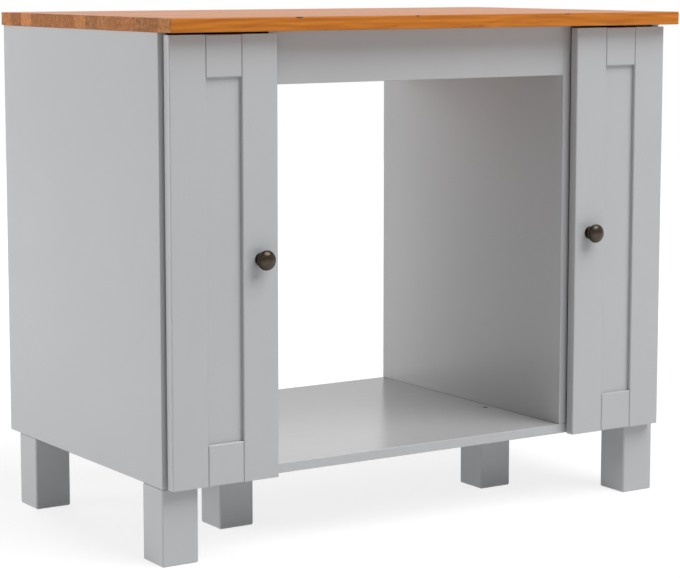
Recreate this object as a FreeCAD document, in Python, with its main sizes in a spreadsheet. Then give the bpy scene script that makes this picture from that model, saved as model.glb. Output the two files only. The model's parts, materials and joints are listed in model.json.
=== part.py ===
import FreeCAD, Part
import math
import os
from types import SimpleNamespace

import Sketcher
from FreeCAD import Rotation, Vector

# Oven housing cabinet: a worktop on a painted carcass with six legs, an open oven niche
# in the middle and a narrow cupboard with a framed door at each end.
# Millimetres, +Z up, the front looks along -Y, origin under the middle of the worktop on the floor.
# The left half is drawn and the right half is its mirror image in the plane X = 0.

# Driving dimensions: name, millimetres, meaning
SIZES = [
    ("worktop_width", 1000.0, "worktop, end to end"),
    ("worktop_depth", 600.0, "worktop, front edge to back edge"),
    ("overall_height", 850.0, "room floor to the top of the worktop"),
    ("worktop_thick", 22.0, "worktop thickness"),
    ("worktop_round", 2.0, "rounding of the worktop's arrises"),
    ("end_overhang", 4.0, "worktop past each side panel"),
    ("front_overhang", 48.0, "worktop past the front of the carcass"),
    ("board_thick", 16.0, "painted carcass boards"),
    ("board_arris", 0.8, "flat taken off the edges of painted boards"),
    ("cupboard_width", 179.0, "each cupboard, side panel to partition; the oven niche takes the rest"),
    ("apron_height", 84.0, "apron and rear rail under the worktop"),
    ("back_setback", 8.0, "inner boards stop short of the side panels' back edges"),
    ("back_thick", 3.0, "hardboard backs of the cupboards"),
    ("back_lap", 10.0, "hardboard back over the partition's back edge"),
    ("leg_size", 64.0, "square legs, across"),
    ("leg_height", 124.0, "legs, room floor to carcass"),
    ("leg_arris", 2.0, "flat taken off the legs' edges"),
    ("back_leg_inset", 36.0, "back legs in front of the side panels' back edges"),
    ("inner_leg_setback", 160.0, "inner legs behind the front of the carcass"),
    ("shelf_play", 1.0, "shelf short of the boards at its ends"),
    ("shelf_setback", 20.0, "shelf behind the front of the carcass"),
    ("shelf_level", 470.0, "underside of the shelf above the room floor"),
    ("pin_inset", 50.0, "shelf pins in from the shelf's front and back edges"),
    ("pin_radius", 2.5, "shelf pin in its hole"),
    ("pin_depth", 9.0, "shelf pin into the board"),
    ("pin_spoon", 9.0, "length of the flat that the shelf lies on"),
    ("pin_spoon_thick", 4.0, "thickness of that flat"),
    ("pin_pitch", 32.0, "spacing of the shelf pin holes"),
    ("dowel_radius", 4.0, "beech dowels"),
    ("dowel_short", 10.0, "dowel into the face of a board"),
    ("dowel_long", 20.0, "dowel into the end of a board"),
    ("dowel_inset", 100.0, "first and last dowel in from the floor panel's edges"),
    ("rail_dowel_inset", 20.0, "dowels in from the apron's top and bottom"),
    ("hole_spare", 1.0, "dowel and screw holes deeper than what they hold"),
    ("fit_clearance", 0.05, "round fits, on the radius"),
    ("door_thick", 18.0, "door frame thickness"),
    ("door_gap", 4.0, "air between door and carcass"),
    ("door_top_gap", 4.0, "air between door and worktop"),
    ("door_reveal", 7.0, "side panel edge that shows beside the door"),
    ("door_overlap", 4.0, "door over the partition's front edge"),
    ("door_round", 2.5, "rounding of the door's long outer arrises"),
    ("stile_width", 64.0, "upright members of the door frame"),
    ("rail_height", 65.0, "level members of the door frame"),
    ("joint_vee", 1.2, "flat on each side of the stile and rail joints"),
    ("shadow_gap", 0.5, "air in front of the tenons, the fine dark line of these joints"),
    ("panel_recess", 7.0, "door panel behind the front of its frame"),
    ("panel_thick", 6.0, "door panel, and the groove that holds it"),
    ("groove_depth", 9.0, "groove in the stiles and rails"),
    ("panel_play", 1.0, "room left at the bottom of the groove"),
    ("knob_radius", 16.0, "knob head"),
    ("knob_reach", 25.5, "knob, door face to the top of its dome"),
    ("knob_crown", 8.5, "height of the knob's dome"),
    ("knob_rim", 4.0, "rounded rim under the dome, along the knob"),
    ("knob_tuck", 2.6, "rounded rim, drawn in below"),
    ("rim_radius", 5.0, "roundness of that rim"),
    ("rose_radius", 11.0, "foot of the knob on the door"),
    ("rose_thick", 2.5, "thickness of that foot"),
    ("neck_radius", 6.5, "slimmest part of the knob"),
    ("neck_level", 5.5, "door face to the slimmest part of the knob"),
    ("flare_radius", 9.0, "hollow under the knob's head"),
    ("knob_screw_radius", 2.0, "screw that holds the knob"),
    ("knob_thread", 12.0, "screw into the knob"),
    ("knob_screw_head", 4.0, "radius of that screw's head"),
    ("knob_screw_head_thick", 2.4, "thickness of that screw's head"),
    ("bumper_radius", 4.0, "soft stop on the back of the door"),
    ("bumper_air", 0.3, "air between the soft stop and the carcass"),
    ("hinge_inset", 100.0, "hinges in from the door's ends"),
    ("pivot_inset", 9.0, "hinge pin in from the door's outer edge"),
    ("pivot_depth", 8.5, "hinge pin behind the door's front"),
    ("pivot_radius", 1.5, "hinge pin"),
    ("cup_radius", 17.5, "hole for the hinge cup"),
    ("cup_edge", 3.0, "wood left outside the cup hole"),
    ("cup_depth", 13.5, "hole for the hinge cup, depth"),
    ("cup_wall", 0.8, "sheet of the hinge cup"),
    ("cup_clearance", 0.1, "cup in its hole, on the radius"),
    ("flange_thick", 0.8, "cup flange on the back of the door"),
    ("flange_rim", 0.4, "cup flange past the edge of the hole"),
    ("wing_width", 12.0, "screw wings of the cup flange, across"),
    ("wing_length", 60.0, "screw wings of the cup flange, end to end"),
    ("wing_round", 4.0, "corners of the screw wings"),
    ("cup_screw_spacing", 48.0, "cup screws, centre to centre"),
    ("cup_screw_offset", 6.0, "cup screws inward of the cup's middle"),
    ("cheek_thick", 2.5, "ears in the cup that hold the pin"),
    ("cheek_radius", 2.8, "ears in the cup, around the pin"),
    ("arm_width", 12.0, "hinge arm strip"),
    ("arm_thick", 2.0, "hinge arm strip thickness"),
    ("arm_reach", 12.5, "hinge pin to the middle of the arm's long leg"),
    ("arm_bend", 3.0, "outer rounding of the arm's elbow"),
    ("eye_radius", 2.6, "eye of the hinge arm around the pin"),
    ("arm_side_play", 0.3, "air between the arm and the ears"),
    ("arm_screw_depth", 6.0, "screw through the arm into the plate's block"),
    ("plate_setback", 37.0, "plate screws behind the front of the carcass"),
    ("plate_length", 46.0, "block of the mounting plate, front to back"),
    ("plate_thick", 3.0, "wings of the mounting plate"),
    ("plate_wing", 48.0, "wings of the mounting plate, end to end"),
    ("plate_screw_spacing", 32.0, "plate screws, centre to centre"),
    ("small_screw_radius", 1.75, "hinge and bracket screws"),
    ("small_screw_length", 12.0, "hinge and bracket screws into the wood"),
    ("small_head_radius", 3.5, "their heads"),
    ("small_head_thick", 1.8, "their heads, thickness"),
    ("long_screw_radius", 2.25, "leg and partition screws"),
    ("long_screw_length", 40.0, "leg and partition screws past the floor panel"),
    ("long_head_depth", 2.5, "their countersunk heads, depth"),
    ("partition_screw_spacing", 300.0, "screws through the floor panel into a partition"),
    ("bracket_leg", 25.0, "angle brackets under the worktop, each leg"),
    ("bracket_width", 18.0, "angle brackets, along the board"),
    ("bracket_thick", 2.0, "angle brackets, sheet"),
    ("bracket_inset", 80.0, "angle brackets in from the carcass front and back"),
]

NEAR = 1e-4
COUNTERSINK_ANGLE = 90
doc = FreeCAD.newDocument("oven_housing_cabinet")
nodes = []


class Size:
    """A length that keeps the formula which ties it to the sheet."""

    def __init__(self, value, formula=None):
        self.value = float(value)
        self.formula = formula or repr(float(value))

    def __add__(self, other):
        other = as_size(other)
        return Size(self.value + other.value, f"({self.formula} + {other.formula})")

    def __sub__(self, other):
        other = as_size(other)
        return Size(self.value - other.value, f"({self.formula} - {other.formula})")

    def __mul__(self, other):
        other = as_size(other)
        return Size(self.value * other.value, f"({self.formula} * {other.formula})")

    def __truediv__(self, other):
        other = as_size(other)
        return Size(self.value / other.value, f"({self.formula} / {other.formula})")

    def __neg__(self):
        return Size(-self.value, f"(-1 * {self.formula})")


def as_size(number):
    return number if isinstance(number, Size) else Size(number)


def make_sheet():
    """Write the driving dimensions into a sheet and hand them back by name."""
    sheet = doc.addObject("Spreadsheet::Sheet", "Sizes")
    for row, (alias, value, meaning) in enumerate(SIZES, start=1):
        sheet.set(f"A{row}", meaning)
        sheet.set(f"B{row}", str(value))
        sheet.setAlias(f"B{row}", alias)
    doc.recompute()
    names = [alias for alias, _, _ in SIZES]
    return SimpleNamespace(**{name: Size(sheet.get(name), f"Sizes.{name}") for name in names})


def bind(thing, name, size):
    thing.setExpression(name, as_size(size).formula)


# Sketches


def fix_point(sketch, index, point, x, y):
    """Tie one point of a sketch to its two coordinates."""
    for kind, size in (("DistanceX", as_size(x)), ("DistanceY", as_size(y))):
        row = sketch.addConstraint(Sketcher.Constraint(kind, index, point, size.value))
        bind(sketch, f"Constraints[{row}]", size)


def fix_radius(sketch, index, radius):
    row = sketch.addConstraint(Sketcher.Constraint("Radius", index, radius.value))
    bind(sketch, f"Constraints[{row}]", radius)


def circle(x, y, radius):
    """A round hole or boss for a sketch."""
    def draw(sketch):
        centre = Vector(as_size(x).value, as_size(y).value, 0)
        index = sketch.addGeometry(Part.Circle(centre, Vector(0, 0, 1), radius.value), False)
        fix_point(sketch, index, 3, x, y)
        fix_radius(sketch, index, radius)
    return draw


def bowed(start, end, radius, side):
    """The arc from start to end; side is 1 where it bows to the right of the way there, else -1."""
    chord = end - start
    half = chord.Length / 2
    depth = radius - math.sqrt(radius ** 2 - half ** 2)
    across = Vector(chord.y, -chord.x, 0).normalize()
    return Part.ArcOfCircle(start, (start + end) / 2 + across * (side * depth), end)


def outline(*corners):
    """A closed outline for a sketch. A corner is (x, y), or (x, y, radius, side) where an arc follows."""
    def draw(sketch):
        points = [Vector(as_size(c[0]).value, as_size(c[1]).value, 0) for c in corners]
        first = sketch.GeometryCount
        for number, corner in enumerate(corners):
            start = points[number]
            end = points[(number + 1) % len(points)]
            if len(corner) == 2:
                sketch.addGeometry(Part.LineSegment(start, end), False)
            else:
                sketch.addGeometry(bowed(start, end, corner[2].value, corner[3]), False)
        for number, corner in enumerate(corners):
            before = (number - 1) % len(corners)
            begins = start_point(corner)
            ends = 3 - start_point(corners[before])
            joint = Sketcher.Constraint("Coincident", first + before, ends, first + number, begins)
            sketch.addConstraint(joint)
            fix_point(sketch, first + number, begins, corner[0], corner[1])
            if len(corner) > 2:
                fix_radius(sketch, first + number, corner[2])
    return draw


def start_point(corner):
    """Which end of its sketch edge a corner is: arcs run anticlockwise, so some run backwards."""
    return 2 if len(corner) > 2 and corner[3] < 0 else 1


def rectangle(x0, y0, x1, y1):
    return outline((x0, y0), (x1, y0), (x1, y1), (x0, y1))


# Features of a body. A plane's own normal is +Z, -Y or +X

NORMAL_SIGN = {"XY": 1, "XZ": -1, "YZ": 1}


def new_body(label):
    body = doc.addObject("PartDesign::Body", label)
    body.Label = label
    return body


def sketch_on(body, plane, level, shapes, shift=None):
    """A sketch on one of the body's own planes, moved out to a level along that plane's axis."""
    support = next(f for f in body.Origin.OriginFeatures if f.Role == f"{plane}_Plane")
    sketch = body.newObject("Sketcher::SketchObject", f"{body.Label}_sketch")
    sketch.AttachmentSupport = [(support, "")]
    sketch.MapMode = "FlatFace"
    bind(sketch, "AttachmentOffset.Base.z", as_size(level) * NORMAL_SIGN[plane])
    if shift is not None:
        bind(sketch, "AttachmentOffset.Base.x", shift)
    for draw in shapes:
        draw(sketch)
    return sketch


def volume(body):
    return 0.0 if body.Shape.isNull() else body.Shape.Volume


def add(body, plane, low, high, *shapes):
    """Pad shapes from one level to a higher one."""
    pad = body.newObject("PartDesign::Pad", f"{body.Label}_pad")
    pad.Profile = sketch_on(body, plane, low, shapes)
    bind(pad, "Length", high - low)
    pad.Reversed = NORMAL_SIGN[plane] < 0
    before = volume(body)
    body.Tip = pad
    doc.recompute()
    if volume(body) < before + NEAR:
        raise RuntimeError(f"a pad on {body.Label} added nothing")


def take_away(body, feature, before):
    """Make a cutting feature the body's last one, and make sure that wood or metal went."""
    body.Tip = feature
    doc.recompute()
    if volume(body) > before - NEAR:
        raise RuntimeError(f"{feature.Label} cut nothing")


def cut(body, plane, low, high, *shapes):
    """Pocket shapes from one level to a higher one."""
    before = volume(body)
    pocket = body.newObject("PartDesign::Pocket", f"{body.Label}_pocket")
    pocket.Profile = sketch_on(body, plane, low, shapes)
    bind(pocket, "Length", high - low)
    pocket.Reversed = NORMAL_SIGN[plane] > 0
    take_away(body, pocket, before)


def countersink(body, level, upwards, thick, points, radius, head_depth):
    """Upright screw holes through a board, with a cone for a flush head at the level where they start."""
    before = volume(body)
    sketch = sketch_on(body, "XY", level, [circle(*point, radius) for point in points])
    hole = body.newObject("PartDesign::Hole", f"{body.Label}_screw_holes")
    hole.Profile = sketch
    doc.recompute()
    hole.ThreadType = "None"
    hole.HoleCutType = "Countersink"
    hole.HoleCutCustomValues = True
    hole.HoleCutCountersinkAngle = COUNTERSINK_ANGLE
    hole.DepthType = "Dimension"
    hole.DrillPoint = "Flat"
    hole.Reversed = upwards
    bind(hole, "Diameter", radius * 2)
    bind(hole, "HoleCutDiameter", (radius + head_depth) * 2)
    bind(hole, "Depth", thick)
    take_away(body, hole, before)


def lies_on(edge, axis, level):
    box = edge.BoundBox
    low = getattr(box, f"{axis}Min")
    high = getattr(box, f"{axis}Max")
    return abs(low - level.value) < NEAR and abs(high - level.value) < NEAR


def ease(body, kind, size, *places):
    """Chamfer or Fillet the edges at each place, given as {axis: level}; no place means every edge."""
    base = body.Tip
    names = []
    for number, edge in enumerate(base.Shape.Edges, start=1):
        chosen = any(all(lies_on(edge, a, level) for a, level in place.items()) for place in places)
        if chosen or not places:
            names.append(f"Edge{number}")
    feature = body.newObject(f"PartDesign::{kind}", f"{body.Label}_{kind.lower()}")
    feature.Base = (base, names)
    bind(feature, "Radius" if kind == "Fillet" else "Size", size)
    body.Tip = feature
    doc.recompute()


def block(label, low, high):
    """A body that starts as a box between two corners."""
    body = new_body(label)
    add(body, "XY", low[2], high[2], rectangle(low[0], low[1], high[0], high[1]))
    return body


def board(label, low, high):
    """A painted board with its edges eased."""
    body = block(label, low, high)
    ease(body, "Chamfer", S.board_arris)
    return body


# Round pieces, copies and groups

TURNS = {
    "X": Rotation(Vector(0, 1, 0), 90),
    "Y": Rotation(Vector(1, 0, 0), -90),
    "Z": Rotation(),
}
ACROSS = {"X": ("y", "z"), "Y": ("x", "z"), "Z": ("x", "y")}
PLANE_ACROSS = {"X": "YZ", "Y": "XZ", "Z": "XY"}


def place_along(thing, axis, low, point):
    """Stand a round primitive on a level of an axis, at a point across that axis."""
    thing.Placement.Rotation = TURNS[axis]
    bind(thing, f"Placement.Base.{axis.lower()}", low)
    for name, size in zip(ACROSS[axis], point):
        bind(thing, f"Placement.Base.{name}", size)


def rod(axis, low, high, point, radius):
    thing = doc.addObject("Part::Cylinder", "rod")
    bind(thing, "Radius", radius)
    bind(thing, "Height", high - low)
    place_along(thing, axis, low, point)
    return thing


def cone(axis, low, high, point, low_radius, high_radius):
    thing = doc.addObject("Part::Cone", "cone")
    bind(thing, "Radius1", low_radius)
    bind(thing, "Radius2", high_radius)
    bind(thing, "Height", high - low)
    place_along(thing, axis, low, point)
    return thing


def fused(*pieces):
    thing = doc.addObject("Part::MultiFuse", "fused")
    thing.Shapes = list(pieces)
    return thing


def drill(body, axis, low, high, points, radius):
    cut(body, PLANE_ACROSS[axis], low, high, *[circle(*point, radius) for point in points])


def mirrored(source, axis, level=0):
    """The mirror image of a piece in the plane where an axis has the given level."""
    thing = doc.addObject("Part::Mirroring", f"{source.Name}_mirrored")
    thing.Source = source
    thing.Normal = Vector(*(float(a == axis) for a in "XYZ"))
    bind(thing, f"Base.{axis.lower()}", level)
    return thing


def group(pieces):
    thing = doc.addObject("Part::Compound", "group")
    thing.Links = list(pieces)
    return thing


def keep(label, thing):
    thing.Label = label
    nodes.append(thing)
    return thing


def keep_pair(label, thing):
    """Keep a left-hand piece and its mirror image on the right."""
    keep(label.format("left"), thing)
    keep(label.format("right"), mirrored(thing, "X"))


def keep_both(label, pieces):
    """Keep left-hand pieces and their mirror images together as one set."""
    left = group(pieces)
    keep(label, group([left, mirrored(left, "X")]))


S = make_sheet()

# Planes and levels that the pieces share
left_end = -(S.worktop_width / 2)
front_edge = -(S.worktop_depth / 2)
back_edge = S.worktop_depth / 2
top_under = S.overall_height - S.worktop_thick
side_out = left_end + S.end_overhang
side_in = side_out + S.board_thick
partition_out = side_in + S.cupboard_width
niche_left = partition_out + S.board_thick
carcass_front = front_edge + S.front_overhang
inner_back = back_edge - S.back_setback
floor_low = S.leg_height
floor_top = floor_low + S.board_thick
apron_low = top_under - S.apron_height

door_out = side_out + S.door_reveal
door_in = partition_out + S.door_overlap
door_back = carcass_front - S.door_gap
door_front = door_back - S.door_thick
door_low = floor_low
door_high = top_under - S.door_top_gap
door_middle = (door_low + door_high) / 2
outer_joint = door_out + S.stile_width
inner_joint = door_in - S.stile_width
knob_x = door_in - S.stile_width / 2
groove_front = door_front + S.panel_recess
groove_back = groove_front + S.panel_thick

hinge_level = door_low + S.hinge_inset
pivot = (door_out + S.pivot_inset, door_front + S.pivot_depth)
cup_middle = door_out + S.cup_edge + S.cup_radius
cup_floor = door_back - S.cup_depth
flange_back = door_back + S.flange_thick
cup_screw_x = cup_middle + S.cup_screw_offset
arm_near = pivot[0] + S.arm_reach - S.arm_thick / 2
arm_far = arm_near + S.arm_thick
plate_y = carcass_front + S.plate_setback
plate_front = plate_y - S.plate_length / 2
plate_rear = plate_y + S.plate_length / 2

# Where the fixings go, each list shared by the pieces that it joins
dowel_hole = S.dowel_radius + S.fit_clearance
dowel_rows = [
    carcass_front + S.dowel_inset,
    (carcass_front + inner_back) / 2,
    inner_back - S.dowel_inset,
]
side_dowels = [(y, (floor_low + floor_top) / 2) for y in dowel_rows]
partition_x = (partition_out + niche_left) / 2
partition_dowels = [(partition_x, y) for y in dowel_rows]
partition_screws = [
    (partition_x, (carcass_front + inner_back) / 2 + S.partition_screw_spacing * half)
    for half in (-0.5, 0.5)
]
apron_y = carcass_front + S.board_thick / 2
rear_rail_y = inner_back - S.board_thick / 2
rail_levels = [apron_low + S.rail_dowel_inset, top_under - S.rail_dowel_inset]
apron_dowels = [(apron_y, z) for z in rail_levels]
rear_rail_dowels = [(rear_rail_y, z) for z in rail_levels]

leg_half = S.leg_size / 2
corner_leg_x = side_out + leg_half
inner_leg_x = partition_out + leg_half
left_legs = {
    "front_{}_leg": (corner_leg_x, carcass_front + leg_half),
    "back_{}_leg": (corner_leg_x, back_edge - S.back_leg_inset - leg_half),
    "inner_{}_leg": (inner_leg_x, carcass_front + S.inner_leg_setback + leg_half),
}

shelf_front = carcass_front + S.shelf_setback
shelf_pin_rows = [shelf_front + S.pin_inset, inner_back - S.pin_inset]
shelf_pin_z = S.shelf_level - S.pin_spoon_thick / 2
shelf_pin_holes = [
    (y, shelf_pin_z + S.pin_pitch * step) for y in shelf_pin_rows for step in (-1, 0, 1)
]

bracket_rows = [carcass_front + S.bracket_inset, inner_back - S.bracket_inset]
bracket_screw_x = side_in + S.bracket_leg / 2
bracket_screw_z = top_under - S.bracket_leg / 2
small_hole = S.small_screw_radius + S.fit_clearance
small_depth = S.small_screw_length + S.hole_spare
long_hole = S.long_screw_radius + S.fit_clearance
long_head = S.long_screw_radius + S.long_head_depth
plate_screws = [
    (plate_y, hinge_level + S.plate_screw_spacing * half) for half in (-0.5, 0.5)
]
cup_screws = [
    (cup_screw_x, hinge_level + S.cup_screw_spacing * half) for half in (-0.5, 0.5)
]


def with_upper(points):
    """Points for the lower hinge, and the same for the upper one."""
    return points + [(x, door_low + door_high - z) for x, z in points]


def make_worktop():
    body = block("worktop", (left_end, front_edge, top_under), (-left_end, back_edge, S.overall_height))
    ease(body, "Fillet", S.worktop_round)
    holes = [(x, y) for x in (bracket_screw_x, -bracket_screw_x) for y in bracket_rows]
    drill(body, "Z", top_under, top_under + small_depth, holes, small_hole)
    keep("worktop", body)


def make_side_panel():
    body = board("left_side_panel", (side_out, carcass_front, floor_low), (side_in, back_edge, top_under))
    drill(body, "X", side_in - S.dowel_short - S.hole_spare, side_in, side_dowels, dowel_hole)
    pin_hole = S.pin_radius + S.fit_clearance
    drill(body, "X", side_in - S.pin_depth - S.hole_spare, side_in, shelf_pin_holes, pin_hole)
    screws = with_upper(plate_screws) + [(y, bracket_screw_z) for y in bracket_rows]
    drill(body, "X", side_in - small_depth, side_in, screws, small_hole)
    keep_pair("{}_side_panel", body)


def make_partition():
    low = (partition_out, carcass_front, floor_top)
    body = board("left_partition", low, (niche_left, inner_back, top_under))
    long_end = floor_top + S.dowel_long + S.hole_spare
    drill(body, "Z", floor_top, long_end, partition_dowels, dowel_hole)
    screw_end = floor_low + S.long_screw_length + S.hole_spare
    drill(body, "Z", floor_top, screw_end, partition_screws, long_hole)
    rail_holes = apron_dowels + rear_rail_dowels
    drill(body, "X", niche_left - S.dowel_short - S.hole_spare, niche_left, rail_holes, dowel_hole)
    pin_hole = S.pin_radius + S.fit_clearance
    drill(body, "X", partition_out, partition_out + S.pin_depth + S.hole_spare, shelf_pin_holes, pin_hole)
    keep_pair("{}_partition", body)


def both_sides(points):
    """Points seen from above, with their mirror images."""
    return points + [(-x, y) for x, y in points]


def make_floor_panel():
    body = board("floor_panel", (side_in, carcass_front, floor_low), (-side_in, inner_back, floor_top))
    deep = S.dowel_long + S.hole_spare
    drill(body, "X", side_in, side_in + deep, side_dowels, dowel_hole)
    drill(body, "X", -side_in - deep, -side_in, side_dowels, dowel_hole)
    short_end = floor_top - S.dowel_short - S.hole_spare
    drill(body, "Z", short_end, floor_top, both_sides(partition_dowels), dowel_hole)
    legs = both_sides(list(left_legs.values()))
    countersink(body, floor_top, False, S.board_thick, legs, long_hole, S.long_head_depth)
    under = both_sides(partition_screws)
    countersink(body, floor_low, True, S.board_thick, under, long_hole, S.long_head_depth)
    keep("floor_panel", body)


def make_rail(label, y, dowels):
    """A rail between the partitions, dowelled at both ends."""
    half = S.board_thick / 2
    body = board(label, (niche_left, y - half, apron_low), (-niche_left, y + half, top_under))
    deep = S.dowel_long + S.hole_spare
    drill(body, "X", niche_left, niche_left + deep, dowels, dowel_hole)
    drill(body, "X", -niche_left - deep, -niche_left, dowels, dowel_hole)
    keep(label, body)


def make_back_panel():
    low = (side_in, inner_back, floor_low)
    body = block("left_back_panel", low, (partition_out + S.back_lap, inner_back + S.back_thick, top_under))
    keep_pair("{}_back_panel", body)


def make_dowels():
    rods = [rod("X", side_in - S.dowel_short, side_in + S.dowel_long, p, S.dowel_radius) for p in side_dowels]
    up = [rod("Z", floor_top - S.dowel_short, floor_top + S.dowel_long, p, S.dowel_radius)
          for p in partition_dowels]
    rails = [rod("X", niche_left - S.dowel_short, niche_left + S.dowel_long, p, S.dowel_radius)
             for p in apron_dowels + rear_rail_dowels]
    keep_both("carcass_dowels", rods + up + rails)


def make_shelf():
    low = (side_in + S.shelf_play, shelf_front, S.shelf_level)
    high = (partition_out - S.shelf_play, inner_back - S.shelf_play, S.shelf_level + S.board_thick)
    keep_pair("{}_shelf", board("left_shelf", low, high))


def make_shelf_pins():
    pieces = []
    for wall, inward in ((side_in, 1), (partition_out, -1)):
        deep = wall - S.pin_depth * inward
        spoon = wall + S.pin_spoon * inward
        for y in shelf_pin_rows:
            body = new_body("shelf_pin")
            low, high = (deep, wall) if inward > 0 else (wall, deep)
            add(body, "YZ", low, high, circle(y, shelf_pin_z, S.pin_radius))
            low, high = (wall, spoon) if inward > 0 else (spoon, wall)
            half = S.pin_spoon_thick / 2
            flat = rectangle(y - S.pin_spoon / 2, shelf_pin_z - half, y + S.pin_spoon / 2, S.shelf_level)
            add(body, "YZ", low, high, flat)
            pieces.append(body)
    keep_both("shelf_pins", pieces)


def make_leg(label, middle):
    x, y = middle
    name = label.format("left")
    body = block(name, (x - leg_half, y - leg_half, Size(0)), (x + leg_half, y + leg_half, S.leg_height))
    ease(body, "Chamfer", S.leg_arris)
    screw_end = floor_low - S.long_screw_length - S.hole_spare
    drill(body, "Z", screw_end, floor_low, [middle], long_hole)
    keep_pair(label, body)


def make_long_screws():
    """Leg screws go down through the floor panel, partition screws go up through it."""
    down = []
    for point in left_legs.values():
        head_low = floor_top - S.long_head_depth
        shank = rod("Z", floor_low - S.long_screw_length, head_low, point, S.long_screw_radius)
        head = cone("Z", head_low, floor_top, point, S.long_screw_radius, long_head)
        down.append(fused(shank, head))
    keep_both("leg_screws", down)
    up = []
    for point in partition_screws:
        head_high = floor_low + S.long_head_depth
        shank = rod("Z", head_high, floor_low + S.long_screw_length, point, S.long_screw_radius)
        head = cone("Z", floor_low, head_high, point, long_head, S.long_screw_radius)
        up.append(fused(shank, head))
    keep_both("partition_screws", up)


def make_brackets():
    """Angle brackets that hold the worktop to the side panels, with their screws."""
    brackets = []
    screws = []
    sheet = S.bracket_thick
    for y in bracket_rows:
        body = new_body("worktop_bracket")
        angle = outline(
            (side_in, top_under),
            (side_in + S.bracket_leg, top_under),
            (side_in + S.bracket_leg, top_under - sheet),
            (side_in + sheet, top_under - sheet),
            (side_in + sheet, top_under - S.bracket_leg),
            (side_in, top_under - S.bracket_leg),
        )
        half = S.bracket_width / 2
        add(body, "XZ", y - half, y + half, angle)
        drill(body, "Z", top_under - sheet, top_under, [(bracket_screw_x, y)], small_hole)
        drill(body, "X", side_in, side_in + sheet, [(y, bracket_screw_z)], small_hole)
        brackets.append(body)
        screws.append(small_screw("Z", 1, top_under - sheet, (bracket_screw_x, y), sheet))
        screws.append(small_screw("X", -1, side_in + sheet, (y, bracket_screw_z), sheet))
    keep_both("worktop_brackets", brackets)
    keep_both("bracket_screws", screws)


def small_screw(axis, way, seat, point, through):
    """A screw whose head sits on a seat and whose shank runs the given way through metal into wood."""
    tip = seat + (through + S.small_screw_length) * way
    top = seat - S.small_head_thick * way
    if way > 0:
        shank = rod(axis, seat, tip, point, S.small_screw_radius)
        head = rod(axis, top, seat, point, S.small_head_radius)
    else:
        shank = rod(axis, tip, seat, point, S.small_screw_radius)
        head = rod(axis, seat, top, point, S.small_head_radius)
    return fused(shank, head)


# Doors


def make_stile(label, edge, joint, inward):
    """An upright of the door frame, grooved along the edge that meets the rails and the panel."""
    body = new_body(label.format("left"))
    deep = joint - S.groove_depth * inward
    section = outline(
        (edge, door_front),
        (joint - S.joint_vee * inward, door_front),
        (joint, door_front + S.joint_vee),
        (joint, groove_front),
        (deep, groove_front),
        (deep, groove_back),
        (joint, groove_back),
        (joint, door_back),
        (edge, door_back),
    )
    add(body, "XY", door_low, door_high, section)
    ease(body, "Fillet", S.door_round, {"X": edge, "Y": door_front}, {"X": edge, "Y": door_back})
    return body


def make_stiles():
    outer = make_stile("{}_outer_stile", door_out, outer_joint, 1)
    cups = with_upper([(cup_middle, hinge_level)])
    drill(outer, "Y", cup_floor, door_back, cups, S.cup_radius)
    drill(outer, "Y", door_back - small_depth, door_back, with_upper(cup_screws), small_hole)
    keep_pair("{}_outer_stile", outer)
    inner = make_stile("{}_inner_stile", door_in, inner_joint, -1)
    knob_hole = S.knob_screw_radius + S.fit_clearance
    drill(inner, "Y", door_front, door_back, [(knob_x, door_middle)], knob_hole)
    keep_pair("{}_inner_stile", inner)


def make_door_rail(label, edge, inside, inward):
    """A level member of the door frame, with a tenon at each end and a groove for the panel."""
    body = new_body(label.format("left"))
    deep = inside - S.groove_depth * inward
    section = outline(
        (door_front, edge),
        (door_front, inside),
        (groove_front, inside),
        (groove_front, deep),
        (groove_back, deep),
        (groove_back, inside),
        (door_back, inside),
        (door_back, edge),
    )
    reach = S.groove_depth - S.panel_play
    shoulder = S.groove_depth * inward
    tenon = rectangle(groove_front, edge + shoulder, groove_back, deep - S.panel_play * inward)
    add(body, "YZ", outer_joint - reach, inner_joint + reach, tenon)
    ends = (outer_joint + S.shadow_gap, inner_joint - S.shadow_gap)
    add(body, "YZ", ends[0], ends[1], section)
    around = [{"X": ends[0]}, {"X": ends[1]}, {"Z": edge}, {"Z": inside}]
    ease(body, "Chamfer", S.joint_vee, *[{"Y": door_front, **place} for place in around])
    keep_pair(label, body)


def make_door_panel():
    reach = S.groove_depth - S.panel_play
    low = (outer_joint - reach, groove_front, door_low + S.rail_height - reach)
    high = (inner_joint + reach, groove_back, door_high - S.rail_height + reach)
    keep_pair("{}_door_panel", block("left_door_panel", low, high))


def make_knob():
    """A turned knob: foot, waisted neck, flared head with a crowned top, drilled for its screw."""
    body = new_body("left_knob")
    crown_low = door_front - S.knob_reach + S.knob_crown
    dome_radius = (S.knob_radius * S.knob_radius + S.knob_crown * S.knob_crown) / (S.knob_crown * 2)
    profile = outline(
        (Size(0), door_front),
        (S.rose_radius, door_front),
        (S.rose_radius, door_front - S.rose_thick),
        (S.neck_radius, door_front - S.neck_level, S.flare_radius, 1),
        (S.knob_radius - S.knob_tuck, crown_low + S.knob_rim, S.rim_radius, -1),
        (S.knob_radius, crown_low, dome_radius, -1),
        (Size(0), door_front - S.knob_reach),
    )
    turning = body.newObject("PartDesign::Revolution", "left_knob_turning")
    sketch = sketch_on(body, "XY", door_middle, [profile], shift=knob_x)
    turning.Profile = sketch
    turning.ReferenceAxis = (sketch, ["V_Axis"])
    turning.Angle = 360
    body.Tip = turning
    doc.recompute()
    hole_end = door_front - S.knob_thread - S.hole_spare
    drill(body, "Y", hole_end, door_front, [(knob_x, door_middle)], S.knob_screw_radius + S.fit_clearance)
    keep_pair("{}_knob", body)


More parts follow.
